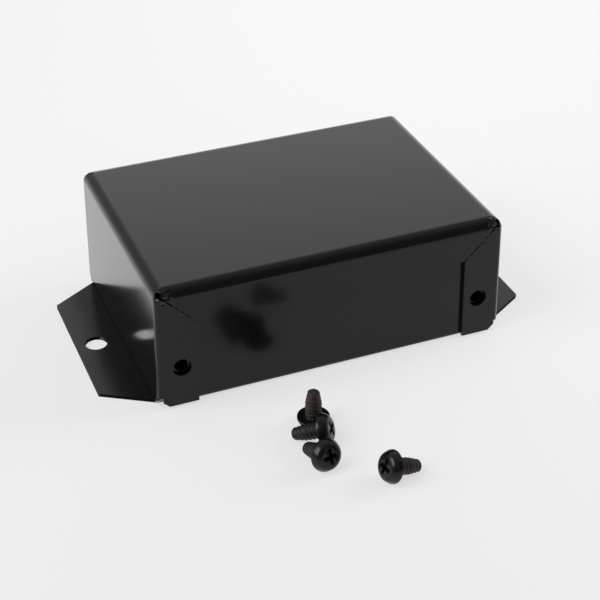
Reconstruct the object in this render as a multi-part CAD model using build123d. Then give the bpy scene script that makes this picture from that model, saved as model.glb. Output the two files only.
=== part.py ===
# Small flanged utility enclosure: two folded metal sheets and four cover screws.
# Millimetres, +Z up. The origin is on the underside of the base, midway between the two ear holes.
# X runs along the long side and through both ears, and -Y is the front, where the loose screws lie.
import os
from math import atan2, cos, degrees
from build123d import *

# Sheet metal
sheet = 0.8
bend_inner = 0.3
top_bend_inner = 1.5    # the folds round the cover's top are wider than the others

# Cover: a top, two ends, and a flange all round the long sides
cover_length = 76.2
cover_depth = 54.0
cover_height = 28.3
end_lean = 0.7          # how far each end leans out between the top and the floor
flange_width = 8.5      # lip under the top edge, and tab beside each end
mitre_gap = 0.3
corner_relief = 1.2     # hole that frees the three bends at each top corner
tab_foot = 0.5          # height of the tabs' lower edge above the floor
corner_cut = 2.4        # how far the lower corners are cut off, in the tabs and in the ends

# Base: a floor with a wall along each long side, and a mounting ear beyond each end
wall_fit = 0.2          # between a base wall and the flange outside it
end_fit = 0.3           # between a base wall's end and the cover's end
top_fit = 0.3           # between a base wall's top and the start of the cover's top fold
ear_length = 10.7
ear_root_width = 48.2
ear_tip_width = 35.0
ear_corner_radius = 0.4
ear_hole = 4.8
ear_hole_out = 6.35     # from the cover's top edge out to the hole's centre

# Cover screws, and their holes
cover_hole = 4.0
pilot_hole = 2.9
hole_from_end = 4.8
hole_height = 9.6
head_diameter = 6.65
head_height = 2.05
head_rim = 0.5          # height of the head's straight rim, below the sides that lean in
head_top_diameter = 5.2
head_round = 1.2        # rounding between the leaning sides and the flat top
shank_diameter = 3.4
shank_length = 6.1
tip_length = 2.8
tip_diameter = 2.4
recess_span = 3.4
recess_foot_span = 1.5
recess_slot = 0.85
recess_foot_slot = 0.6
recess_depth = 1.7

# Where the four screws were put down: the point on the floor below the middle of the head's seat,
# and the direction in which the shank points. A screw with no direction stands on its head.
screw_places = {
    "cover_screw_1": (-11.2, -42.4, None),
    "cover_screw_2": (-11.9, -48.4, 147.0),
    "cover_screw_3": (-14.3, -55.6, 106.0),
    "cover_screw_4": (-3.6, -63.8, 6.0),
}

bend_outer = bend_inner + sheet
top_bend_outer = top_bend_inner + sheet
wall_set_back = sheet + wall_fit
base_depth = cover_depth - 2 * wall_set_back
base_length = cover_length - 2 * (sheet + end_fit)
wall_height = cover_height - top_bend_outer - top_fit
slot_depth = 2 * sheet
hole_x = cover_length / 2 - hole_from_end
ear_hole_x = cover_length / 2 + ear_hole_out


def lean_at(height):
    """How far an end stands out at this height, beyond its top edge."""
    return end_lean * (cover_height - height) / cover_height


def through_front_and_back(outline_points):
    """A cutter with this outline on the long sides, as long as the cover is deep."""
    outline = make_face(Polyline(*outline_points, close=True))
    return extrude(Plane.XZ * outline, amount=cover_depth, both=True)


def screw_hole_cutter(diameter):
    """Two cross holes that run through both long sides, one near each end."""
    drill = Rot(90, 0, 0) * Cylinder(diameter / 2, 2 * cover_depth)
    return [Pos(side * hole_x, 0, hole_height) * drill for side in (-1, 1)]


def cover_shell():
    """The sheet folded down on four sides, before its flanges are cut to shape."""
    half_top = cover_length / 2
    half_foot = half_top + lean_at(0)
    side = make_face(Polyline((-half_foot, 0), (half_foot, 0), (half_top, cover_height),
                              (-half_top, cover_height), close=True))
    block = extrude(Plane.XZ * side, amount=cover_depth / 2, both=True)
    foot = block.faces().sort_by(Axis.Z)[0]
    top = block.faces().sort_by(Axis.Z)[-1]
    block = fillet(block.edges() - foot.edges() - top.edges(), bend_outer)
    block = fillet(block.faces().sort_by(Axis.Z)[-1].edges(), top_bend_outer)
    foot = block.faces().sort_by(Axis.Z)[0]
    return offset(block, amount=-sheet, openings=foot)


def flange_window():
    """The opening in each long side, inside the lip and the two tabs."""
    half_top = cover_length / 2 - flange_width
    lip_edge = cover_height - flange_width
    half_foot = half_top + lean_at(0) - lean_at(lip_edge)
    return through_front_and_back([(-half_foot, 0), (half_foot, 0), (half_top, lip_edge),
                                   (-half_top, lip_edge)])


def mitre_slots():
    """The narrow cuts between the lip and the tabs, from each corner in at 45 degrees."""
    run = flange_width + mitre_gap
    shift = mitre_gap / 2 ** 0.5
    slots = []
    for side in (-1, 1):
        corner_x = side * cover_length / 2
        outline = [(corner_x, cover_height - shift), (corner_x, cover_height + shift),
                   (corner_x - side * run, cover_height - run + shift),
                   (corner_x - side * run, cover_height - run - shift)]
        face = make_face(Polyline(*outline, close=True))
        for front in (-1, 1):
            slot = extrude(Plane.XZ * face, amount=slot_depth, both=True)
            slots.append(Pos(0, front * cover_depth / 2, 0) * slot)
    return slots


def corner_reliefs():
    """A drilled hole along the diagonal of each of the four top corners."""
    drills = []
    for side in (-1, 1):
        for front in (-1, 1):
            corner = (side * cover_length / 2, front * cover_depth / 2, cover_height)
            along = Plane(origin=corner, z_dir=(side, front, 1))
            drills.append(along * Cylinder(corner_relief / 2, 4 * top_bend_outer))
    return drills


def lower_corner_outline(far, inward):
    """The outline cut off a lower corner at 45 degrees, from just outside the sheet inwards."""
    leg = corner_cut + sheet
    outline = [(far, 0), (far, tab_foot + leg), (far + inward * leg, tab_foot),
               (far + inward * leg, 0)]
    return make_face(Polyline(*outline, close=True))


def lower_corner_cuts():
    """The 45 degree cuts at the lower corners, into each tab and into the end beside it."""
    far_x = cover_length / 2 + lean_at(tab_foot) + sheet
    far_y = cover_depth / 2 + sheet
    cuts = []
    for side in (-1, 1):
        for front in (-1, 1):
            tab_outline = lower_corner_outline(side * far_x, -side)
            end_outline = lower_corner_outline(front * far_y, -front)
            tab_cut = extrude(Plane.XZ * tab_outline, amount=bend_outer, both=True)
            end_cut = extrude(Plane.YZ * end_outline, amount=bend_outer, both=True)
            cuts.append(Pos(0, front * cover_depth / 2, 0) * tab_cut)
            cuts.append(Pos(side * (far_x - sheet), 0, 0) * end_cut)
    return cuts


def end_seats():
    """What is trimmed off the two ends, so that they stand on the ears."""
    width = cover_depth - 2 * bend_outer
    length = cover_length + 4 * end_lean + 2 * sheet
    return Pos(0, 0, sheet / 2) * Box(length, width, sheet)


def make_cover():
    cover = cover_shell()
    cover -= flange_window()
    cover -= mitre_slots()
    cover -= corner_reliefs()
    cover -= end_seats()
    below_tabs = Box(2 * cover_length, 2 * cover_depth, 2 * tab_foot)
    cover -= below_tabs
    cover -= lower_corner_cuts()
    cover -= screw_hole_cutter(cover_hole)
    return cover


def make_base():
    channel = extrude(Plane.YZ * Pos(0, wall_height / 2) * Rectangle(base_depth, wall_height),
                      amount=base_length / 2, both=True)
    lower_edges = channel.edges().filter_by(Axis.X).group_by(Axis.Z)[0]
    channel = fillet(lower_edges, bend_outer)
    open_sides = channel.faces().filter_by(Axis.X) + channel.faces().sort_by(Axis.Z)[-1:]
    base = offset(channel, amount=-sheet, openings=open_sides)
    for side in (-1, 1):
        base += make_ear(side)
    base -= screw_hole_cutter(pilot_hole)
    return base


def make_ear(side):
    """A mounting ear: the floor carried on past the cover's end, with tapered sides."""
    root_x = cover_length / 2
    tip_x = root_x + ear_length
    inside_x = base_length / 2 - bend_outer
    root = ear_root_width / 2
    tip = ear_tip_width / 2
    outline = Polyline((inside_x, -root), (root_x, -root), (tip_x, -tip), (tip_x, tip),
                       (root_x, root), (inside_x, root), close=True)
    ear = extrude(make_face(outline), amount=sheet)
    tip_corners = ear.edges().filter_by(Axis.Z).group_by(Axis.X)[-1]
    ear = fillet(tip_corners, ear_corner_radius)
    ear -= Pos(ear_hole_x, 0, sheet / 2) * Cylinder(ear_hole / 2, 2 * sheet)
    return ear if side > 0 else ear.rotate(Axis.Z, 180)


def make_screw():
    """A pan head screw with its seat at Z = 0, its head above and its shank below."""
    rim = head_diameter / 2
    top = head_top_diameter / 2
    shank = shank_diameter / 2
    tip = tip_diameter / 2
    tip_top = tip_length - shank_length
    head = revolve(Plane.XZ * make_face(Polyline((0, 0), (rim, 0), (rim, head_rim),
                                                 (top, head_height), (0, head_height),
                                                 close=True)), Axis.Z)
    top_edge = head.edges().group_by(Axis.Z)[-1]
    head = fillet(top_edge, head_round)
    body = Polyline((0, -shank_length), (tip, -shank_length), (shank, tip_top), (shank, 0),
                    (0, 0), close=True)
    screw = head + revolve(Plane.XZ * make_face(body), Axis.Z)
    return screw - recess_cutter()


def recess_cutter():
    """The cross recess: two tapered wings at right angles."""
    foot = head_height - recess_depth
    wings = []
    for turn in (0, 90):
        top_face = Pos(0, 0, head_height) * Rectangle(recess_span, recess_slot, rotation=turn)
        foot_face = Pos(0, 0, foot) * Rectangle(recess_foot_span, recess_foot_slot, rotation=turn)
        wings.append(loft([foot_face, top_face]))
    return wings


def lying_dip():
    """The angle by which a lying screw's shank points down, until its thread or its tip touches."""
    to_thread = atan2(head_diameter - shank_diameter, 2 * (shank_length - tip_length))
    to_tip = atan2(head_diameter - tip_diameter, 2 * shank_length)
    return min(to_thread, to_tip)


def put_down(screw, x, y, heading):
    """Stand the screw on its head, or lay it on its head's rim and its shank."""
    if heading is None:
        return Pos(x, y, head_height) * Rot(180, 0, 0) * screw
    dip = lying_dip()
    seat_height = head_diameter / 2 * cos(dip)
    return Pos(x, y, seat_height) * Rot(0, 0, heading) * Rot(0, degrees(dip) - 90, 0) * screw


os.makedirs("parts", exist_ok=True)
pieces = {"cover": make_cover(), "base": make_base()}
for name, (x, y, heading) in screw_places.items():
    pieces[name] = put_down(make_screw(), x, y, heading)
for name, piece in pieces.items():
    export_step(piece, f"parts/{name}.step")
    box = piece.bounding_box()
    print(name, "from", [round(v, 3) for v in box.min], "to", [round(v, 3) for v in box.max],
          "volume", round(piece.volume, 2))
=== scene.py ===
# %% [markdown]
# # A small black sheet-metal box
#
# The object is a utility enclosure of two folded sheets, a cover and a base with a mounting ear at
# each end, and the four screws that hold the cover, taken out and put down in front of it. The
# solids come with their true sizes, so this script doesn't shape the box again. It gives the box
# its glossy black enamel, cuts the threads on the screws, and lights and frames the whole as a
# product photograph. All lengths are in metres, and one unit in Blender is one metre.

# %% Load the solids
import math

import bmesh
import bpy
from mathutils import Matrix, Vector


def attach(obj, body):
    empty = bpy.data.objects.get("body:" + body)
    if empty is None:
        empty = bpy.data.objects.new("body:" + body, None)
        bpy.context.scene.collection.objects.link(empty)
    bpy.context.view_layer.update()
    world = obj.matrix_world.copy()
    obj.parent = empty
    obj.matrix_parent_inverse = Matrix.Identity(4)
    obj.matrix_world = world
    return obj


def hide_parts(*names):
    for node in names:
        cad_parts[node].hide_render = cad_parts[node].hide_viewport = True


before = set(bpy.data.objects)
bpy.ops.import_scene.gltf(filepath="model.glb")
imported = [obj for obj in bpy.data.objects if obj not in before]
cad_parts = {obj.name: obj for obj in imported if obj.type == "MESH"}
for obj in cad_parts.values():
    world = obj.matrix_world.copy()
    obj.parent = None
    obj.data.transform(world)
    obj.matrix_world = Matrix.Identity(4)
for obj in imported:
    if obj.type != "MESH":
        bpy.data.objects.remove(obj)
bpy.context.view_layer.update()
MM = 0.001
print("solids:", sorted(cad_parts))

# %% [markdown]
# ## Camera
#
# The camera stands in front of the box, a little to its left, and looks down on it. Its place was
# found by fitting the box's own edges and holes to the picture, so it is written as a place, three
# angles and a lens. A long lens keeps the box's far edges almost parallel to its near ones.

# %% The camera
camera_place = Vector((-98.665, -253.377, 182.663)) * MM
camera_azimuth, camera_elevation, camera_roll = -21.8613, 33.7821, -0.1777      # degrees
camera_lens = 87.05         # mm, as Blender counts a lens


def look_from(azimuth, elevation, roll):
    """The turn of a camera that looks along +Y at azimuth 0, and down at a positive elevation."""
    a, e, r = (math.radians(v) for v in (azimuth, elevation, roll))
    back = Vector((math.sin(a) * math.cos(e), -math.cos(a) * math.cos(e), math.sin(e)))
    right = Vector((math.cos(a), math.sin(a), 0))
    up = back.cross(right)
    turned_right = math.cos(r) * right + math.sin(r) * up
    turned_up = math.cos(r) * up - math.sin(r) * right
    return Matrix((turned_right, turned_up, back)).transposed()


camera_data = bpy.data.cameras.new("camera")
camera_data.lens = camera_lens
camera_data.sensor_width = 36
camera_data.clip_start = 0.01
camera_data.clip_end = 20
camera = bpy.data.objects.new("camera", camera_data)
turn = look_from(camera_azimuth, camera_elevation, camera_roll).to_4x4()
camera.matrix_world = Matrix.Translation(camera_place) @ turn
bpy.context.scene.collection.objects.link(camera)
bpy.context.scene.camera = camera
print("camera is", round(camera_place.length / MM), "mm from the origin")

# %% [markdown]
# ## Helpers for node trees
#
# Every material here is built from nodes, and so are the threads and the beads of paint. A few
# short helpers add a node together with what feeds it, so that the cells below read almost like
# formulas. The last one sets a finished tree out from left to right, for whoever opens it in
# Blender.


# %% Node helpers
def feed(tree, node, values):
    """Gives a node's inputs, by name or number, a plain value or another node's output."""
    for name, value in values.items():
        if isinstance(value, bpy.types.NodeSocket):
            tree.links.new(value, node.inputs[name])
        else:
            node.inputs[name].default_value = value


def add_node(tree, kind, values=None, **settings):
    """A new node of this kind, with its settings by name and what feeds its inputs."""
    node = tree.nodes.new(kind)
    for name, value in settings.items():
        setattr(node, name, value)
    feed(tree, node, values or {})
    return node


def math_node(tree, operation, *values):
    """A Math node on numbers or outputs. Returns its own output."""
    return add_node(tree, "ShaderNodeMath", dict(enumerate(values)), operation=operation).outputs[0]


def vector_node(tree, operation, first, second=None):
    """A Vector Math node. Returns its output, which is a number for a distance or a dot product."""
    node = add_node(tree, "ShaderNodeVectorMath", {0: first}, operation=operation)
    if second is not None:
        feed(tree, node, {"Scale" if operation == "SCALE" else 1: second})
    return node.outputs["Value" if operation in ("DISTANCE", "DOT_PRODUCT") else "Vector"]


def map_range(tree, value, start, stop, low=0.0, high=1.0, smooth=False):
    """An output that goes from low to high while the value goes from start to stop."""
    values = {"Value": value, "From Min": start, "From Max": stop, "To Min": low, "To Max": high}
    curve = "SMOOTHSTEP" if smooth else "LINEAR"
    return add_node(tree, "ShaderNodeMapRange", values, interpolation_type=curve).outputs[0]


def split_xyz(tree, vector):
    """The outputs X, Y and Z of a vector."""
    return add_node(tree, "ShaderNodeSeparateXYZ", {0: vector}).outputs


print("node helpers ready")


# %% Helpers for whole trees
def new_group(name, inputs, outputs, kind="ShaderNodeTree"):
    """A node group, its inputs and its output node. A socket has a type, or a number to start from."""
    tree = bpy.data.node_groups.new(name, kind)
    for side, sockets in (("INPUT", inputs), ("OUTPUT", outputs)):
        for label, given in sockets.items():
            type_name = given if isinstance(given, str) else "Float"
            socket = tree.interface.new_socket(label, in_out=side,
                                               socket_type="NodeSocket" + type_name)
            if not isinstance(given, str):
                socket.default_value = given
    return tree, tree.nodes.new("NodeGroupInput").outputs, tree.nodes.new("NodeGroupOutput")


def new_material(name):
    """A material, its node tree and its Principled shader."""
    material = bpy.data.materials.new(name)
    material.use_nodes = True
    return material, material.node_tree, material.node_tree.nodes["Principled BSDF"]


def lay_out(tree, column_width=220, row_height=200):
    """Puts each node left of all that it feeds, and the nodes of one column below each other."""
    column = {node.name: 0 for node in tree.nodes}
    for _ in tree.nodes:
        for link in tree.links:
            behind = column[link.to_node.name] + 1
            column[link.from_node.name] = max(column[link.from_node.name], behind)
    filled = {}
    for node in tree.nodes:
        place = column[node.name]
        filled[place] = filled.get(place, 0) + 1
        node.location = (-column_width * place, -row_height * filled[place])


print("tree helpers ready")

# %% [markdown]
# ## Helpers for meshes
#
# Geometry Nodes and modifiers only show a shape. Plain meshes are kept, so the shape is read from the
# evaluated object, and the object that carried the modifier is deleted.


# %% Mesh helpers
def new_piece(name, mesh):
    """An object with this mesh, at the origin, in the scene."""
    piece = bpy.data.objects.new(name, mesh)
    bpy.context.scene.collection.objects.link(piece)
    return piece


def mesh_from(shape, name):
    """A mesh with what a bmesh holds. The bmesh is freed."""
    mesh = bpy.data.meshes.new(name)
    shape.to_mesh(mesh)
    shape.free()
    return mesh


def plain_mesh(piece, name):
    """The mesh that a piece shows with its modifiers, free of them."""
    bpy.context.view_layer.update()
    graph = bpy.context.evaluated_depsgraph_get()
    mesh = bpy.data.meshes.new_from_object(piece.evaluated_get(graph), depsgraph=graph)
    mesh.name = name
    return mesh


def mesh_from_tree(tree, values, name):
    """What a Geometry Nodes tree makes with these values of its inputs, as a plain mesh."""
    holder = new_piece(name + "_holder", bpy.data.meshes.new(name + "_start"))
    modifier = holder.modifiers.new(name, "NODES")
    modifier.node_group = tree
    for item in tree.interface.items_tree:
        if item.in_out == "INPUT" and item.name in values:
            modifier[item.identifier] = values[item.name]
    mesh = plain_mesh(holder, name)
    holder.modifiers.remove(modifier)
    bpy.data.objects.remove(holder)
    return mesh


print("mesh helpers ready")

# %% [markdown]
# ## Sprayed enamel, as a node group
#
# Enamel that is sprayed on sheet metal never dries quite flat. It keeps a faint orange peel, which
# bends the reflections a little, and it carries specks of dust. Both are effects that the cover's
# and the base's paint share, so they are one node group with named inputs. The group puts out a
# height for a Bump node and a roughness that changes over the surface. The scales of its textures
# are repeats per metre, because Object coordinates are metres.

# %% The enamel group
dust_scale, haze_scale = 420.0, 60.0
speck_radius = 0.10         # in cells of the dust's texture
speck_rarity = 0.93         # the share of the cells that have no speck
speck_roughness = 0.3


def build_enamel_group():
    """Object coordinates in, height and roughness out."""
    tree, given, result = new_group(
        "sprayed_enamel",
        {"Coordinates": "Vector", "Peel Size": 900.0, "Dust Amount": 0.5, "Base Roughness": 0.16,
         "Roughness Change": 0.05},
        {"Height": "Float", "Roughness": "Float"})
    place = given["Coordinates"]
    peel = add_node(tree, "ShaderNodeTexNoise",
                    {"Vector": place, "Scale": given["Peel Size"], "Detail": 1.0})
    dust = add_node(tree, "ShaderNodeTexVoronoi", {"Vector": place, "Scale": dust_scale},
                    feature="F1")
    grain = math_node(tree, "LESS_THAN", dust.outputs["Distance"], speck_radius)
    draw = add_node(tree, "ShaderNodeSeparateColor", {0: dust.outputs["Color"]}).outputs[0]
    rare = math_node(tree, "GREATER_THAN", draw, speck_rarity)
    speck = math_node(tree, "MULTIPLY", math_node(tree, "MULTIPLY", grain, rare),
                      given["Dust Amount"])
    haze = add_node(tree, "ShaderNodeTexNoise", {"Vector": place, "Scale": haze_scale, "Detail": 3.0})
    change = math_node(tree, "MULTIPLY", math_node(tree, "SUBTRACT", haze.outputs[0], 0.5),
                       given["Roughness Change"])
    rough = math_node(tree, "ADD", change, given["Base Roughness"])
    rough = math_node(tree, "ADD", rough, math_node(tree, "MULTIPLY", speck, speck_roughness))
    feed(tree, result, {"Height": math_node(tree, "ADD", peel.outputs[0], speck),
                        "Roughness": rough})
    lay_out(tree)
    return tree


enamel_group = build_enamel_group()
print("group inputs:", [s.name for s in enamel_group.interface.items_tree if s.in_out == "INPUT"])

# %% [markdown]
# ## Painted shade where one sheet meets the other, as a node group
#
# The cover's ends stand on the ears. The group paints shade there: at the left end the ear is painted
# darker towards that corner, with less coat, and at both ends the crease itself is painted black, as
# a contact shadow. The masks fall off with the distance to the line along which an end stands on its
# ear, so they need only the place of that line: how far out it is along X, and how high.


# %% The joint group
def build_joint_shade_group():
    """Object coordinates in. Out come a wide mask of painted shade, at the left only, and a narrow one
    for the painted shadow in the crease.
    """
    tree, given, result = new_group(
        "painted_joint_shade",
        {"Coordinates": "Vector", "Joint X": 38.7 * MM, "Joint Z": 0.8 * MM, "Start": 2.5 * MM,
         "Reach": 10.5 * MM, "Crease": 0.9 * MM},
        {"Wide": "Float", "Narrow": "Float"})
    parts = split_xyz(tree, given["Coordinates"])
    away = math_node(tree, "SUBTRACT", math_node(tree, "ABSOLUTE", parts["X"]), given["Joint X"])
    above = math_node(tree, "SUBTRACT", parts["Z"], given["Joint Z"])
    squares = math_node(tree, "ADD", math_node(tree, "MULTIPLY", away, away),
                        math_node(tree, "MULTIPLY", above, above))
    distance = math_node(tree, "SQRT", squares)
    wide = map_range(tree, distance, given["Start"], given["Reach"], 1.0, 0.0, smooth=True)
    narrow = map_range(tree, distance, 0.0, given["Crease"], 1.0, 0.0, smooth=True)
    left = math_node(tree, "LESS_THAN", parts["X"], 0.0)
    feed(tree, result, {"Wide": math_node(tree, "MULTIPLY", wide, left), "Narrow": narrow})
    lay_out(tree)
    return tree


joint_shade_group = build_joint_shade_group()
print("joint group has", len(joint_shade_group.nodes), "nodes")

# %% [markdown]
# ## Fronts and backs that lean, as a node group
#
# The front and the back of a hand-folded box are a little over-bent: they lean back by a few
# degrees, too little to see in the outline, but gloss paint shows it in how low it mirrors the
# loose screws. Both sheets do it. The group tilts the normal up by a share that grows with how
# much the surface faces front or back, so the ends, the top and the ears stay as they are. A second
# input, Roll, tilts it whichever way the surface faces.


# %% The lean group
def build_lean_group():
    """The surface's own normal in, the leaning one out."""
    tree, given, result = new_group("leaning_sides", {"Normal": "Vector", "Lean": 0.06, "Roll": 0.0},
                                    {"Normal": "Vector"})
    across = split_xyz(tree, given["Normal"])["Y"]
    lean = math_node(tree, "MULTIPLY", math_node(tree, "MULTIPLY", across, across), given["Lean"])
    tilt = add_node(tree, "ShaderNodeCombineXYZ", {"Z": math_node(tree, "ADD", lean, given["Roll"])})
    tilted = vector_node(tree, "ADD", given["Normal"], tilt.outputs[0])
    feed(tree, result, {"Normal": vector_node(tree, "NORMALIZE", tilted)})
    lay_out(tree)
    return tree


lean_group = build_lean_group()
print("lean group has", len(lean_group.nodes), "nodes")

# %% [markdown]
# ## Black enamel for the box
#
# The paint is close to pure black, and what one sees on it is mostly what it mirrors. The shader
# is a dark base under a clear coat, as gloss enamel is: where the eye meets the sheet at a low
# angle, as on the box's left end, the two layers together mirror the pale table strongly, and
# from straight on they stay dark. Two layers with an index of refraction as low as 1.25 mirror less
# from straight on than one with enamel's usual 1.5, and more at a low angle. The base sheet's
# paint is the same with a little more haze, since it was painted as a separate piece.

# %% The two enamels
paint_ior, coat_roughness = 1.25, 0.14
paint_tone, joint_shade_tone = (0.0042, 0.0040, 0.0041, 1), (0.0008, 0.0008, 0.0008, 1)
peel_strength, peel_depth = 0.25, 0.02 * MM


def make_enamel(name, roughness, peel_size, dust, joint_shade_share):
    """Near-black clear-coated paint, with painted shade at the joint; the wide part by this share."""
    material, tree, shader = new_material(name)
    place = add_node(tree, "ShaderNodeTexCoord", name="place").outputs
    surface = add_node(tree, "ShaderNodeGroup", node_tree=enamel_group)
    feed(tree, surface, {"Coordinates": place["Object"], "Base Roughness": roughness,
                         "Peel Size": peel_size, "Dust Amount": dust})
    joint = add_node(tree, "ShaderNodeGroup", {"Coordinates": place["Object"]},
                     node_tree=joint_shade_group)
    # Painted shade: near the joint the tone goes darker and the coat thins.
    joint_shade = math_node(tree, "MAXIMUM", math_node(tree, "MULTIPLY", joint.outputs["Wide"], joint_shade_share),
                     joint.outputs["Narrow"])
    tone = add_node(tree, "ShaderNodeMix", {"Factor": joint_shade, "A": paint_tone, "B": joint_shade_tone},
                    data_type="RGBA")
    lean = add_node(tree, "ShaderNodeGroup", {"Normal": place["Normal"]}, name="lean",
                    node_tree=lean_group)
    bump = add_node(tree, "ShaderNodeBump", name="fine_bump")
    feed(tree, bump, {"Strength": peel_strength, "Distance": peel_depth,
                      "Height": surface.outputs["Height"], "Normal": lean.outputs["Normal"]})
    feed(tree, shader, {"IOR": paint_ior, "Coat IOR": paint_ior, "Coat Roughness": coat_roughness,
                        "Coat Weight": math_node(tree, "SUBTRACT", 1.0, joint_shade),
                        "Base Color": tone.outputs["Result"],
                        "Roughness": surface.outputs["Roughness"],
                        "Normal": bump.outputs["Normal"], "Coat Normal": bump.outputs["Normal"]})
    return material


cover_enamel = make_enamel("cover_enamel", roughness=0.16, peel_size=700.0, dust=0.6, joint_shade_share=0.0)
base_enamel = make_enamel("base_enamel", roughness=0.20, peel_size=650.0, dust=0.8, joint_shade_share=1.0)
print("made", cover_enamel.name, "and", base_enamel.name)

# %% [markdown]
# ## Sheared edges
#
# The ears' sheared edges are all that lies beyond the cover's ends and below the ears' upper face,
# so a mask of the coordinates finds them. It takes the coat off, sets the base colour to black and
# tilts their normals up, as the shears rolled them over at the top. They then mirror the dim parts
# of the room instead of the pale table, and show as a dark line round each ear.

# %% Dull the sheared edges
edge_x, edge_z = 38.9 * MM, 0.77 * MM
edge_roll = 0.8


def dull_edges(material):
    """Takes the coat and the base colour off the ears' edges, and rolls them over."""
    tree = material.node_tree
    shader = tree.nodes["Principled BSDF"]
    parts = split_xyz(tree, tree.nodes["place"].outputs["Object"])
    beyond = math_node(tree, "GREATER_THAN", math_node(tree, "ABSOLUTE", parts["X"]), edge_x)
    low = math_node(tree, "LESS_THAN", parts["Z"], edge_z)
    edge = math_node(tree, "MULTIPLY", beyond, low)
    gloss = math_node(tree, "SUBTRACT", 1.0, edge)
    feed(tree, tree.nodes["lean"], {"Roll": math_node(tree, "MULTIPLY", edge, edge_roll)})
    coat, tone = (shader.inputs[name].links[0].from_socket for name in ("Coat Weight", "Base Color"))
    feed(tree, shader, {"Coat Weight": math_node(tree, "MULTIPLY", coat, gloss),
                        "Base Color": vector_node(tree, "SCALE", tone, gloss)})


dull_edges(base_enamel)
print("base paint has", len(base_enamel.node_tree.nodes), "nodes")

# %% [markdown]
# ## Crumpled corners
#
# At the four top corners, where three bends meet at the relief hole, the metal and the paint are
# crumpled over a few millimetres, and the fold breaks up into dark and bright spots there. It is
# one more height for the cover's paint: noise that fades with the distance from the corner. The
# absolute value of the coordinates folds all four corners onto one, so one distance serves them
# all, while the noise itself differs from corner to corner.

# %% Crumple the cover's corners
crumple_centre = Vector((36.4, 26.7, 27.2)) * MM
crumple_height, crumple_start, crumple_reach = 0.85 * MM, 1.2 * MM, 2.4 * MM
crumple_scale = 1000.0


def crumple_corners(material):
    """Adds a Bump node for the corners before the fine one, with heights in metres."""
    tree = material.node_tree
    place, fine = tree.nodes["place"].outputs["Object"], tree.nodes["fine_bump"]
    away = vector_node(tree, "DISTANCE", vector_node(tree, "ABSOLUTE", place), crumple_centre)
    near = map_range(tree, away, crumple_start, crumple_reach, 1.0, 0.0, smooth=True)
    noise = add_node(tree, "ShaderNodeTexNoise",
                     {"Vector": place, "Scale": crumple_scale, "Detail": 1.0})
    level = math_node(tree, "SUBTRACT", noise.outputs[0], 0.5)
    height = math_node(tree, "MULTIPLY", math_node(tree, "MULTIPLY", level, near), crumple_height)
    form = add_node(tree, "ShaderNodeBump", {"Strength": 1.0, "Distance": 1.0, "Height": height})
    feed(tree, form, {"Normal": fine.inputs["Normal"].links[0].from_socket})
    feed(tree, fine, {"Normal": form.outputs["Normal"]})


crumple_corners(cover_enamel)
print("cover paint has", len(cover_enamel.node_tree.nodes), "nodes")

# %% [markdown]
# ## Dress the cover and the base
#
# The solids of the cover and the base are right as they are, so they stay. Their meshes are loose
# triangles with shading from the solids. Only their material slots change here.


# %% Paint the sheets
def dress(node, material):
    """Gives every material slot of a solid this material, whose tree is finished by now."""
    lay_out(material.node_tree)
    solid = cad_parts[node]
    for slot in solid.material_slots:
        slot.material = material
    return solid


cover = dress("cover", cover_enamel)
base = dress("base", base_enamel)
print("triangles:", len(cover.data.polygons), "on the cover,", len(base.data.polygons), "below")

# %% [markdown]
# ## Paint in the mitre slots
#
# The slots between the lip and the tabs are only 0.3 mm wide, and enamel bridges such a slot here
# and there. The bridges are small flattened beads of random length in a row along each slot, a hair
# below the surface. They are wider than the slot and reach into the sheet beside it, so that only
# what bridges the slot shows. Beads in a row are a job for Geometry Nodes: a line of points, each
# moved along by a random amount, with a scaled ball on every point.

# %% Sizes of the beads
corner_x, corner_z, long_side = 38.1 * MM, 28.3 * MM, 27.0 * MM
slot_start, slot_end = 3.0 * MM, 8.2 * MM
bead_count = 5
bead_shortest, bead_longest = 0.5 * MM, 0.9 * MM        # half of a bead's length
bead_half_width, bead_half_depth, bead_sink = 0.45 * MM, 0.3 * MM, 0.02 * MM
length_seed_step = 50       # keeps the draws of the lengths apart from those of the places
print("a row of beads is", round((slot_end - slot_start) * math.sqrt(2) / MM, 1), "mm long")


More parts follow.
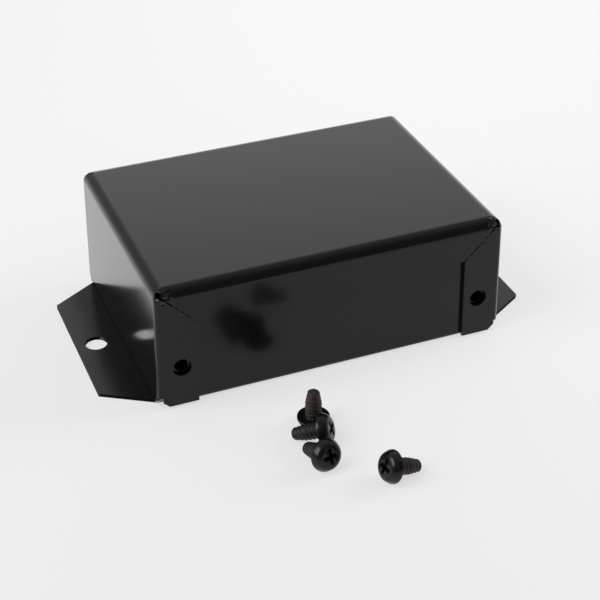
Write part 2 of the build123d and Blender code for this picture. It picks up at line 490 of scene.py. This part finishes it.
# %% The bead tree
def build_bead_tree():
    """Geometry Nodes: flattened balls of random length in a row from Start, along Run."""
    tree, given, result = new_group(
        "paint_beads",
        {"Geometry": "Geometry", "Start": "Vector", "Run": "Vector", "Beads": "Int", "Seed": "Int",
         "Shortest": "Float", "Longest": "Float", "Half Width": "Float", "Half Depth": "Float",
         "Finish": "Material"},
        {"Geometry": "Geometry"}, kind="GeometryNodeTree")
    step = vector_node(tree, "SCALE", given["Run"], math_node(tree, "DIVIDE", 1.0, given["Beads"]))
    row = add_node(tree, "GeometryNodeMeshLine", mode="OFFSET")
    feed(tree, row, {"Count": given["Beads"], "Start Location": given["Start"], "Offset": step})
    chance = add_node(tree, "FunctionNodeRandomValue", {"Seed": given["Seed"]}, data_type="FLOAT")
    shift = vector_node(tree, "SCALE", step, chance.outputs["Value"])
    moved = add_node(tree, "GeometryNodeSetPosition", {"Geometry": row.outputs[0], "Offset": shift})
    length = add_node(tree, "FunctionNodeRandomValue", data_type="FLOAT")
    feed(tree, length, {"Min": given["Shortest"], "Max": given["Longest"],
                        "Seed": math_node(tree, "ADD", given["Seed"], length_seed_step)})
    size = add_node(tree, "ShaderNodeCombineXYZ", {"X": length.outputs["Value"],
                                                   "Y": given["Half Depth"], "Z": given["Half Width"]})
    ball = add_node(tree, "GeometryNodeMeshUVSphere", {"Segments": 24, "Rings": 16, "Radius": 1.0})
    along = add_node(tree, "FunctionNodeAlignRotationToVector", {"Vector": given["Run"]}, axis="X")
    beads = add_node(tree, "GeometryNodeInstanceOnPoints",
                     {"Points": moved.outputs[0], "Instance": ball.outputs["Mesh"],
                      "Rotation": along.outputs[0], "Scale": size.outputs[0]})
    real = add_node(tree, "GeometryNodeRealizeInstances", {0: beads.outputs[0]})
    painted = add_node(tree, "GeometryNodeSetMaterial",
                       {"Geometry": real.outputs[0], "Material": given["Finish"]})
    feed(tree, result, {0: painted.outputs[0]})
    lay_out(tree)
    return tree


bead_tree = build_bead_tree()
print("bead tree has", len(bead_tree.nodes), "nodes")


# %% Fill the slots
def beads_in_slot(side, front, seed):
    """A mesh of the beads in one slot. Side and front are 1 or -1 along X and Y."""
    start = Vector((side * (corner_x - slot_start), front * (long_side - bead_half_depth - bead_sink),
                    corner_z - slot_start))
    run = Vector((-side, 0, -1)) * (slot_end - slot_start)
    values = {"Start": start, "Run": run, "Beads": bead_count, "Seed": seed,
              "Shortest": bead_shortest, "Longest": bead_longest, "Half Width": bead_half_width,
              "Half Depth": bead_half_depth, "Finish": cover_enamel}
    return mesh_from_tree(bead_tree, values, "beads")


all_beads = bmesh.new()
for seed, (side, front) in enumerate([(-1, -1), (1, -1), (1, 1), (-1, 1)]):
    all_beads.from_mesh(beads_in_slot(side, front, seed))
mitre_paint = new_piece("mitre_paint", mesh_from(all_beads, "mitre_paint"))
mitre_paint.data.materials.append(cover_enamel)
mitre_paint.data.shade_smooth()
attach(mitre_paint, "root")
print("paint beads:", 4 * bead_count, "with", len(mitre_paint.data.polygons), "faces")

# %% [markdown]
# ## Threaded shank
#
# The thread is fine and shallow, and it narrows over its last turns to a blunt end. That shape
# follows a rule: at each point the radius depends on the height and on the angle round the axis.
# So it is a Geometry Nodes tree that takes a plain cylinder and sets the radius of each point. The
# height along the thread divided by the pitch, minus the share of a turn, tells how far the point
# is between two crests. Near the very end the radius falls once more, to break the edge.

# %% Sizes of the screws
shank_length = 6.1 * MM
crest_radius = 1.7 * MM
root_radius = 1.57 * MM
tip_length = 2.8 * MM
tip_radius = 1.2 * MM
tip_root_share = 0.94       # of the crest's radius, where the thread narrows
end_break = 0.35 * MM
end_share = 0.78            # of the radius, at the very end
pitch = 0.85 * MM
crest_flat, root_flat = 0.05, 0.36      # from the crest's middle, in pitches
head_radius = 3.325 * MM
head_height = 2.05 * MM
sunk = 0.3 * MM             # how far the shank's top reaches into the head
print("turns of thread:", round(shank_length / pitch, 1))


# %% The thread tree
def build_thread_tree():
    """Geometry Nodes: a cylinder along Z whose radius follows a thread that narrows to a tip."""
    tree, given, result = new_group(
        "rolled_thread",
        {"Geometry": "Geometry", "Crest Radius": crest_radius, "Root Radius": root_radius,
         "Pitch": pitch, "Length": shank_length, "Tip Length": tip_length,
         "Tip Radius": tip_radius, "Sunk": sunk, "End Break": end_break, "Finish": "Material"},
        {"Geometry": "Geometry"}, kind="GeometryNodeTree")
    depth = math_node(tree, "ADD", given["Length"], given["Sunk"])
    rod = add_node(tree, "GeometryNodeMeshCylinder",
                   {"Vertices": 48, "Side Segments": 120, "Radius": 1.0, "Depth": depth})
    parts = split_xyz(tree, add_node(tree, "GeometryNodeInputPosition").outputs[0])
    above_tip = math_node(tree, "ADD", parts["Z"], math_node(tree, "MULTIPLY", depth, 0.5))
    height = math_node(tree, "SUBTRACT", above_tip, given["Length"])

    crest = map_range(tree, above_tip, 0.0, given["Tip Length"], given["Tip Radius"],
                      given["Crest Radius"])
    root = math_node(tree, "MINIMUM", math_node(tree, "MULTIPLY", crest, tip_root_share),
                     given["Root Radius"])
    angle = math_node(tree, "ARCTAN2", parts["Y"], parts["X"])
    turns = math_node(tree, "SUBTRACT", math_node(tree, "DIVIDE", height, given["Pitch"]),
                      math_node(tree, "DIVIDE", angle, 2 * math.pi))
    phase = math_node(tree, "SUBTRACT", math_node(tree, "FRACT", turns), 0.5)
    ridge = map_range(tree, math_node(tree, "ABSOLUTE", phase), root_flat, crest_flat)
    step = math_node(tree, "MULTIPLY", math_node(tree, "SUBTRACT", crest, root), ridge)
    broken = map_range(tree, above_tip, 0.0, given["End Break"], end_share, smooth=True)
    radius = math_node(tree, "MULTIPLY", math_node(tree, "ADD", step, root), broken)

    moved = add_node(tree, "ShaderNodeCombineXYZ", {
        "X": math_node(tree, "MULTIPLY", math_node(tree, "COSINE", angle), radius),
        "Y": math_node(tree, "MULTIPLY", math_node(tree, "SINE", angle), radius), "Z": height})
    cut = add_node(tree, "GeometryNodeSetPosition",
                   {"Geometry": rod.outputs["Mesh"], "Position": moved.outputs[0]})
    real = add_node(tree, "GeometryNodeRealizeInstances", {0: cut.outputs[0]})
    coloured = add_node(tree, "GeometryNodeSetMaterial",
                        {"Geometry": real.outputs[0], "Material": given["Finish"]})
    feed(tree, result, {0: coloured.outputs[0]})
    lay_out(tree)
    return tree


thread_tree = build_thread_tree()
print("thread tree has", len(thread_tree.nodes), "nodes")

# %% [markdown]
# ## Black oxide for the screws
#
# The screws are steel with a thin black oxide, more satin than the paint. It is rubbed a little
# lighter in places, and on two of the screws it turned brown on the thread. The threads of the other
# two, which lie in shade, get a darker, neutral finish instead: painted shade. A fine grain in a node
# group breaks all the finishes up, so that none looks like plastic.

# %% The oxide group
grain_scale = 1400.0
rub_start, rub_full = 0.45, 0.75        # levels of the grain, from dark to rubbed
grain_roughness = 0.2


def build_oxide_group():
    """Object coordinates in, a mottled colour, a roughness and a height out."""
    tree, given, result = new_group(
        "oxide_grain",
        {"Coordinates": "Vector", "Dark": "Color", "Rubbed": "Color", "Base Roughness": 0.35},
        {"Color": "Color", "Roughness": "Float", "Height": "Float"})
    grain = add_node(tree, "ShaderNodeTexNoise",
                     {"Vector": given["Coordinates"], "Scale": grain_scale, "Detail": 4.0}).outputs[0]
    mixed = add_node(tree, "ShaderNodeMix", data_type="RGBA")
    feed(tree, mixed, {"Factor": map_range(tree, grain, rub_start, rub_full),
                       "A": given["Dark"], "B": given["Rubbed"]})
    rough = math_node(tree, "ADD", math_node(tree, "MULTIPLY", grain, grain_roughness),
                      given["Base Roughness"])
    feed(tree, result, {"Color": mixed.outputs["Result"], "Roughness": rough, "Height": grain})
    lay_out(tree)
    return tree


oxide_group = build_oxide_group()
print("oxide group has", len(oxide_group.nodes), "nodes")

# %% The oxide finishes
oxide_metal, oxide_ior = 0.35, 1.5
grain_strength, grain_depth = 0.3, 0.02 * MM


def make_oxide(name, dark, rubbed, roughness):
    """Oxidised steel, with its colour and grain from the oxide group."""
    material, tree, shader = new_material(name)
    surface = add_node(tree, "ShaderNodeGroup", node_tree=oxide_group)
    feed(tree, surface, {"Coordinates": add_node(tree, "ShaderNodeTexCoord").outputs["Object"],
                         "Dark": (*dark, 1), "Rubbed": (*rubbed, 1), "Base Roughness": roughness})
    bump = add_node(tree, "ShaderNodeBump", {"Strength": grain_strength, "Distance": grain_depth,
                                             "Height": surface.outputs["Height"]})
    feed(tree, shader, {"Metallic": oxide_metal, "IOR": oxide_ior,
                        "Base Color": surface.outputs["Color"],
                        "Roughness": surface.outputs["Roughness"],
                        "Normal": bump.outputs["Normal"]})
    lay_out(tree)
    return material


head_oxide = make_oxide("head_oxide", dark=(0.004, 0.004, 0.004), rubbed=(0.011, 0.011, 0.010),
                        roughness=0.17)
brown_thread = make_oxide("brown_thread", dark=(0.026, 0.016, 0.014), rubbed=(0.064, 0.042, 0.037),
                          roughness=0.5)
shaded_thread = make_oxide("shaded_thread", dark=(0.008, 0.008, 0.008), rubbed=(0.020, 0.018, 0.017),
                          roughness=0.45)
print("made", head_oxide.name, "with", brown_thread.name, "and", shaded_thread.name)

# %% [markdown]
# ## Screw heads
#
# The head is a pan head: a short straight rim, sides that lean in, a rounded shoulder and an
# almost flat crown with a cross recess. It is turned from a profile, and the recess is cut with a
# Boolean modifier by a cross of two tapered wings, as the driver's bit has. A Bevel modifier then
# breaks the sharp edges.

# %% Turn the head
rim_height, crown_radius = 0.5 * MM, 2.6 * MM
rim_break, shoulder = 0.06 * MM, 1.2 * MM
shoulder_steps = 8


def turned(profile, steps=72):
    """A closed shape that turns a profile of (radius, height) points round Z, from axis to axis."""
    shape = bmesh.new()
    rings = []
    for radius, height in profile:
        angles = [2 * math.pi * k / steps for k in range(steps)] if radius else [0]
        rings.append([shape.verts.new((radius * math.cos(a), radius * math.sin(a), height))
                      for a in angles])
    for lower, upper in zip(rings, rings[1:]):
        for k in range(steps):
            corners = [ring[step % len(ring)] for ring, step in
                       ((lower, k), (lower, (k + 1) % steps), (upper, (k + 1) % steps), (upper, k))]
            # On the axis a ring is one point, so two corners are the same and the face has three.
            shape.faces.new(list(dict.fromkeys(corners)))
    bmesh.ops.recalc_face_normals(shape, faces=shape.faces)
    return shape


def head_profile():
    """The pan head from the middle of its seat, round its rim, to the middle of its crown."""
    points = [(0, 0), (head_radius - rim_break, 0), (head_radius, rim_break),
              (head_radius, rim_height)]
    lean = math.atan2(head_radius - crown_radius, head_height - rim_height)
    centre_height = head_height - shoulder
    centre_radius = crown_radius - shoulder * math.tan(math.radians(45) - lean / 2)
    for k in range(shoulder_steps + 1):
        a = lean + (math.radians(90) - lean) * k / shoulder_steps
        points.append((centre_radius + shoulder * math.cos(a), centre_height + shoulder * math.sin(a)))
    return points + [(0, head_height)]


head_mesh = mesh_from(turned(head_profile()), "head_blank")
print("head has", len(head_mesh.vertices), "points")

# %% Cut the recess
recess_depth, cutter_above = 1.7 * MM, 0.2 * MM
foot_span, foot_width = 1.5 * MM, 0.6 * MM
top_span, top_width = 3.62 * MM, 0.88 * MM      # at the cutter's top, above the crown
edge_break = 0.09 * MM


def recess_shape():
    """Two tapered wings at right angles, a little taller than the recess is deep."""
    shape = bmesh.new()
    for turn_by in (0, math.pi / 2):
        rows = []
        for height, span, width in ((head_height - recess_depth, foot_span, foot_width),
                                    (head_height + cutter_above, top_span, top_width)):
            row = [shape.verts.new((sx * span / 2, sy * width / 2, height))
                   for sx, sy in ((-1, -1), (1, -1), (1, 1), (-1, 1))]
            bmesh.ops.rotate(shape, verts=row, matrix=Matrix.Rotation(turn_by, 3, "Z"))
            rows.append(row)
        low, high = rows
        shape.faces.new(low[::-1])
        shape.faces.new(high)
        for k in range(4):
            shape.faces.new((low[k], low[(k + 1) % 4], high[(k + 1) % 4], high[k]))
    bmesh.ops.recalc_face_normals(shape, faces=shape.faces)
    return shape


def cut_head():
    """The head with its recess, as a plain mesh."""
    head = new_piece("head_blank", head_mesh)
    cutter = new_piece("recess_cutter", mesh_from(recess_shape(), "recess"))
    cut = head.modifiers.new("recess", "BOOLEAN")
    cut.object = cutter
    cut.solver = "EXACT"
    cut.use_self = True
    soft = head.modifiers.new("broken_edges", "BEVEL")
    soft.width = edge_break
    soft.segments = 2
    soft.limit_method = "ANGLE"
    soft.angle_limit = math.radians(40)
    mesh = plain_mesh(head, "pan_head")
    for piece in (head, cutter):
        bpy.data.objects.remove(piece)
    return mesh


pan_head = cut_head()
print("cut head has", len(pan_head.polygons), "faces")

# %% [markdown]
# ## Put the four screws down
#
# Each screw is one piece: the cut head and the threaded shank, whose top is sunk into the head. The
# first stands on its head. The others lie on the rim of the head and the end of the shank, so their
# axis dips by the angle that those two touching points give. Each piece takes the place of one
# solid screw. A place is X and Y in millimetres and the direction in which the shank points.

# %% Places of the screws
screw_places = {
    "cover_screw_1": (-11.2, -42.4, None),
    "cover_screw_2": (-11.9, -48.4, 147.0),
    "cover_screw_3": (-14.3, -55.6, 106.0),
    "cover_screw_4": (-3.6, -63.8, 6.0),
}
# The two screws in shade get the darker thread finish, which is painted shade.
thread_finish = {"cover_screw_1": brown_thread, "cover_screw_2": shaded_thread,
                 "cover_screw_3": shaded_thread, "cover_screw_4": brown_thread}
dip = min(math.atan2(head_radius - crest_radius, shank_length - tip_length),
          math.atan2(head_radius - tip_radius, shank_length))
print("a lying screw dips by", round(math.degrees(dip), 1), "degrees")


# %% Make a screw and place it
def screw_matrix(x, y, heading):
    """Where a screw lies, from its own frame with the seat at Z = 0."""
    if heading is None:
        return Matrix.Translation((x * MM, y * MM, head_height)) @ Matrix.Rotation(math.pi, 4, "X")
    lift = Matrix.Translation((x * MM, y * MM, head_radius * math.cos(dip)))
    return (lift @ Matrix.Rotation(math.radians(heading), 4, "Z")
            @ Matrix.Rotation(dip - math.pi / 2, 4, "Y"))


def make_screw(node, place):
    """Joins a head and a shank into one mesh at its place, and stands it for the solid."""
    shape = bmesh.new()
    shape.from_mesh(pan_head)
    head_faces = len(shape.faces)
    shape.from_mesh(threaded_shank)
    shape.faces.ensure_lookup_table()
    for number, face in enumerate(shape.faces):
        face.material_index = 0 if number < head_faces else 1
        face.smooth = True
    bmesh.ops.transform(shape, matrix=screw_matrix(*place), verts=shape.verts)
    mesh = mesh_from(shape, node + "_look")
    mesh.materials.append(head_oxide)
    mesh.materials.append(thread_finish[node])
    mesh.set_sharp_from_angle(angle=math.radians(38))
    screw = new_piece(node + "_look", mesh)
    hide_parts(node)
    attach(screw, "root")
    return screw


threaded_shank = mesh_from_tree(thread_tree, {
    "Crest Radius": crest_radius, "Root Radius": root_radius, "Pitch": pitch,
    "Length": shank_length, "Tip Length": tip_length, "Tip Radius": tip_radius,
    "Sunk": sunk, "End Break": end_break, "Finish": shaded_thread}, "threaded_shank")
screws = [make_screw(node, place) for node, place in screw_places.items()]
print("screws:", [s.name for s in screws], len(screws[0].data.polygons), "faces each")

# %% [markdown]
# ## Table
#
# The box stands on a plain pale table that runs out of the picture on all sides. It should look
# evenly near white, with only a soft shadow, both to the camera and in the gloss paint, which
# mirrors it. So for camera, glossy and transmission rays the larger part of what it shows is its own
# glow, through Light Path: painted light, a little brighter at the back and the right. The rest is
# what falls on it, which keeps the shadows. The light that it throws on the box comes from that
# light alone.

# %% The table
table_half, table_drop = 3.0, 0.01 * MM
own_share = 0.7
front_y, back_y, front_level, back_level = -0.12, 0.14, 0.84, 0.95
left_x, right_x, right_extra = -0.05, 0.08, 0.075


def make_table():
    """A wide flat sheet just below the box, with its finish."""
    mesh = bpy.data.meshes.new("table")
    corners = [(-1, -1), (1, -1), (1, 1), (-1, 1)]
    mesh.from_pydata([(x * table_half, y * table_half, -table_drop) for x, y in corners], [],
                     [(0, 1, 2, 3)])
    table = new_piece("table", mesh)
    material, tree, shader = new_material("pale_table")
    feed(tree, shader, {"Base Color": (0.80, 0.80, 0.80, 1), "Roughness": 0.7,
                        "Specular IOR Level": 0.2})
    parts = split_xyz(tree, add_node(tree, "ShaderNodeTexCoord").outputs["Object"])
    # Painted light: the glow is a little brighter at the back and the right.
    rise = map_range(tree, parts["Y"], front_y, back_y, front_level, back_level, smooth=True)
    across = map_range(tree, parts["X"], left_x, right_x, 0.0, right_extra, smooth=True)
    own_light = add_node(tree, "ShaderNodeEmission",
                         {"Strength": math_node(tree, "ADD", rise, across)})
    ray = add_node(tree, "ShaderNodeLightPath").outputs
    seen = math_node(tree, "MAXIMUM", ray["Is Camera Ray"], ray["Is Glossy Ray"])
    seen = math_node(tree, "MAXIMUM", seen, ray["Is Transmission Ray"])
    mix = add_node(tree, "ShaderNodeMixShader", {0: math_node(tree, "MULTIPLY", seen, own_share),
                                                 1: shader.outputs[0], 2: own_light.outputs[0]})
    feed(tree, tree.nodes["Material Output"], {"Surface": mix.outputs[0]})
    lay_out(tree)
    mesh.materials.append(material)
    return table


table = make_table()
print("table at", round(table.data.vertices[0].co.z / MM, 3), "mm")

# %% [markdown]
# ## Light
#
# Black gloss paint shows its surroundings, so the surroundings are designed first. The top of the
# box mirrors what is behind it, a little to the right. The world is brightest there and falls off
# with the angle from that direction: the wide folds at the left and at the front sweep through
# the fall and turn from pale to dark, as in the picture. A dim patch stands at the back left, where
# the left fold and the ears mirror it. Two wide lamps at the left and the right light the table and
# the screws, at places that none of the long folds mirror. The right one is low and is kept out of
# all reflections, because the top would show it as a white sheet from the left.

# %% The world
room_strength = 1.2
room_levels = [(-1.0, 0.10), (-0.5, 0.11), (-0.2, 0.17), (0.0, 0.30), (0.3, 0.37), (0.5, 0.40),
               (0.7, 0.50), (0.8, 0.58), (0.87, 0.71), (0.92, 0.85), (1.0, 1.0)]
brightest = Vector((0.25, 0.96, 0.1)).normalized()
patch = Vector((-0.35, 0.82, 0.45)).normalized()
patch_edge, patch_middle, patch_level = 0.90, 0.985, 0.75


def build_world():
    """A room whose levels, by the cosine to the brightest direction, come from a colour ramp."""
    world = bpy.data.worlds.new("studio")
    bpy.context.scene.world = world
    world.use_nodes = True
    tree = world.node_tree
    direction = add_node(tree, "ShaderNodeTexCoord").outputs["Generated"]
    place = map_range(tree, vector_node(tree, "DOT_PRODUCT", direction, brightest), -1.0, 1.0)
    levels = add_node(tree, "ShaderNodeValToRGB", {0: place})
    ramp = levels.color_ramp
    ramp.elements.remove(ramp.elements[1])
    for number, (cosine, level) in enumerate(room_levels):
        stop = ramp.elements[0] if number == 0 else ramp.elements.new((cosine + 1) / 2)
        stop.position = (cosine + 1) / 2
        stop.color = (level, level, level, 1)
    to_patch = vector_node(tree, "DOT_PRODUCT", direction, patch)
    shade = map_range(tree, to_patch, patch_edge, patch_middle, 1.0, patch_level, smooth=True)
    feed(tree, tree.nodes["Background"],
         {"Color": vector_node(tree, "SCALE", levels.outputs["Color"], shade),
          "Strength": room_strength})
    lay_out(tree)
    return world


studio = build_world()
print("world:", studio.name, "with", len(room_levels), "levels")


# %% The lamps
def add_lamp(name, place, size, power, mirrored=True, target=(0, 0, 0.01)):
    """A square area lamp that faces the box. One that isn't mirrored only lights."""
    data = bpy.data.lights.new(name, "AREA")
    data.shape = "SQUARE"
    data.size = size
    data.energy = power
    lamp = bpy.data.objects.new(name, data)
    lamp.visible_glossy = mirrored
    facing = (Vector(place) - Vector(target)).to_track_quat("Z", "Y")
    lamp.matrix_world = Matrix.Translation(place) @ facing.to_matrix().to_4x4()
    bpy.context.scene.collection.objects.link(lamp)
    return lamp


lamps = [add_lamp("left_lamp", (-0.55, -0.05, 0.50), size=0.5, power=4.0),
         add_lamp("right_lamp", (0.75, -0.05, 0.42), size=0.4, power=3.6, mirrored=False)]
print("lamps:", [(lamp.name, lamp.data.energy) for lamp in lamps])

# %% [markdown]
# ## Finish
#
# The picture is shown with the Standard view, which keeps colours as they are written.

# %% Finish
bpy.context.scene.view_settings.view_transform = "Standard"
